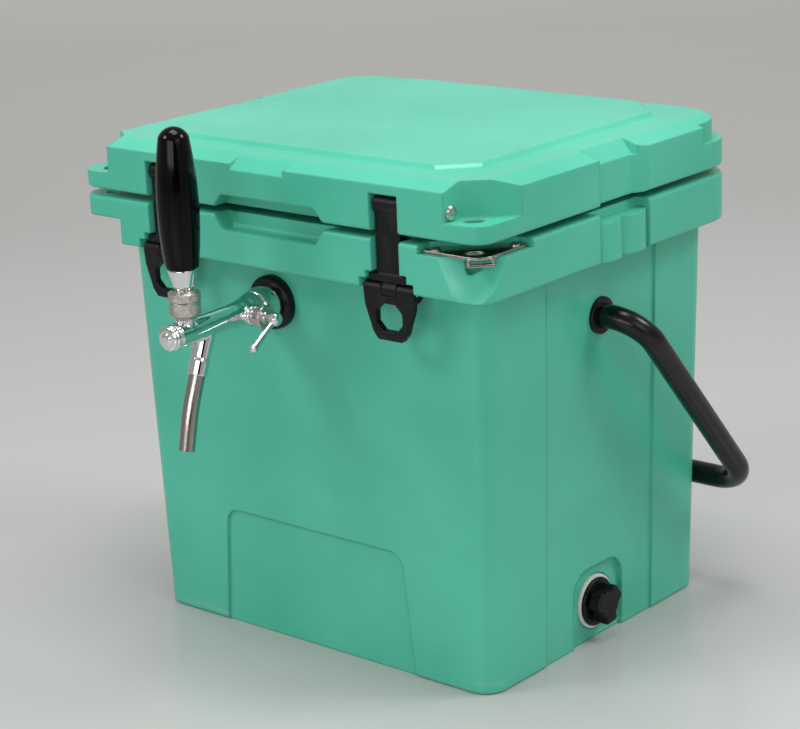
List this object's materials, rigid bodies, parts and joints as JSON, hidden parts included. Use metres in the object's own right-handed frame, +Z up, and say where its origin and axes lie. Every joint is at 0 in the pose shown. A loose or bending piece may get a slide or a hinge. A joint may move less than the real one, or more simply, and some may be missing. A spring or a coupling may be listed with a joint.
{
  "type": "jockey box beer cooler",
  "caption": "Insulated rotomoulded cooler with a hinged lid, rubber latches, a swinging carry handle, a drain and a chilled beer tap fed by an inner coil.",
  "frame": {"origin": "centre of the flat base, on the surface that the cooler stands on", "axes": "+Z up; -Y to the front, where the tap is; +X to the right side, where the drain is"},
  "size_m": [0.476, 0.462, 0.4626],
  "materials": {
    "green": "rotomoulded polyethylene, satin gloss with a faint orange-peel texture",
    "foam": "closed-cell polyurethane foam, sealed inside",
    "seal_black": "smooth black rubber",
    "strap_black": "moulded black rubber, light sheen",
    "plastic_black": "moulded black plastic with a slight sheen",
    "handle_gloss": "turned black handle, high gloss lacquer",
    "handle_tube": "black powder coat with a satin gloss",
    "chrome": "polished chrome plate",
    "knurl": "knurled and brushed nickel",
    "steel": "stainless steel, lightly brushed",
    "plate_steel": "polished stainless plate, slightly smoked",
    "white_seal": "white silicone washer",
    "brass": "plain turned brass",
    "hose": "clear food-grade beer hose"
  },
  "bodies": {
    "cooler": {"cooler_shell": "green", "body_foam": "foam", "hinge_rod": "steel", "hinge_rod_plug": "plastic_black", "lock_plate": "plate_steel", "lock_plate_screws": "steel", "handle_bushes": "plastic_black", "drain_seal": "white_seal", "drain_body": "plastic_black", "drain_nut": "plastic_black", "tap_wall_flange": "plastic_black", "shank": "steel", "shank_washer": "seal_black", "shank_nut": "brass", "tailpiece_seal": "seal_black", "tailpiece": "steel", "tailpiece_nut": "brass", "coupling_collar": "chrome", "faucet_body": "chrome", "faucet_nose_cap": "chrome", "spout_tube": "steel", "faucet_bonnet": "knurl", "flow_nut": "knurl", "chill_coil": "steel", "coil_stand": "plastic_black", "outlet_hose": "hose", "inlet_hose": "hose", "hose_clamps": "steel", "inlet_fitting": "steel", "inlet_nut": "brass"},
    "lid": {"lid_shell": "green", "lid_foam": "foam", "lid_gasket": "seal_black", "latch_pins": "steel"},
    "latch_right": {"latch_strap_right": "strap_black", "latch_tab_pin_right": "steel"},
    "tab_right": {"latch_tab_right": "strap_black"},
    "latch_left": {"latch_strap_left": "strap_black", "latch_tab_pin_left": "steel"},
    "tab_left": {"latch_tab_left": "strap_black"},
    "carry_handle": {"carry_handle": "handle_tube"},
    "tap_handle": {"tap_lever": "steel", "knurled_ring": "knurl", "handle_ferrule": "chrome", "tap_handle": "handle_gloss"},
    "valve": {"valve_shaft": "steel", "valve_seal": "seal_black"},
    "flow_lever": {"flow_lever": "chrome"},
    "flow_compensator": {"flow_compensator": "plastic_black"},
    "drain_cap_ring": {"drain_cap_ring": "seal_black"},
    "drain_cap": {"drain_cap": "plastic_black"}
  },
  "joints": [
    {"name": "lid_hinge", "type": "hinge", "parent": "cooler", "child": "lid", "pos_m": [0, 0.158, 0.366], "axis": [-1, 0, 0], "range_deg": [0, 100]},
    {"name": "latch_right_swing", "type": "hinge", "parent": "lid", "child": "latch_right", "pos_m": [0.1205, -0.1753, 0.4019], "axis": [-1, 0, 0], "range_deg": [0, 110]},
    {"name": "tab_right_fold", "type": "hinge", "parent": "latch_right", "child": "tab_right", "pos_m": [0.1205, -0.1753, 0.3345], "axis": [-1, 0, 0], "range_deg": [0, 70]},
    {"name": "latch_left_swing", "type": "hinge", "parent": "lid", "child": "latch_left", "pos_m": [-0.1205, -0.1753, 0.4019], "axis": [-1, 0, 0], "range_deg": [0, 110]},
    {"name": "tab_left_fold", "type": "hinge", "parent": "latch_left", "child": "tab_left", "pos_m": [-0.1205, -0.1753, 0.3345], "axis": [-1, 0, 0], "range_deg": [0, 70]},
    {"name": "carry_handle_swing", "type": "hinge", "parent": "cooler", "child": "carry_handle", "pos_m": [0, 0, 0.283], "axis": [1, 0, 0], "range_deg": [0, 199]},
    {"name": "tap_handle_pull", "type": "hinge", "parent": "cooler", "child": "tap_handle", "pos_m": [-0.024, -0.25673, 0.31507], "axis": [1, 0, 0], "range_deg": [0, 28]},
    {"name": "valve_travel", "type": "slide", "parent": "cooler", "child": "valve", "axis": [0, 0.9999, 0.015], "range_m": [0, 0.0078]},
    {"name": "flow_lever_turn", "type": "hinge", "parent": "cooler", "child": "flow_lever", "pos_m": [-0.024, -0.194, 0.30012], "axis": [1, 0, 0], "range_deg": [-50, 50]},
    {"name": "compensator_travel", "type": "slide", "parent": "cooler", "child": "flow_compensator", "axis": [0, 0.9999, 0.015], "range_m": [-0.001, 0.001]},
    {"name": "drain_cap_travel", "type": "slide", "parent": "cooler", "child": "drain_cap_ring", "axis": [1, 0, 0], "range_m": [0, 0.0061]},
    {"name": "drain_cap_turn", "type": "hinge", "parent": "drain_cap_ring", "child": "drain_cap", "pos_m": [0.17716, -0.001, 0.0324], "axis": [1, 0, 0], "range_deg": [0, 720]}
  ],
  "couplings": [
    {"joint": "valve_travel", "follows": "tap_handle_pull", "m_per_rad": 0.015371},
    {"joint": "compensator_travel", "follows": "flow_lever_turn", "m_per_rad": 0.001053},
    {"joint": "drain_cap_travel", "follows": "drain_cap_turn", "m_per_rad": 0.00047746}
  ]
}
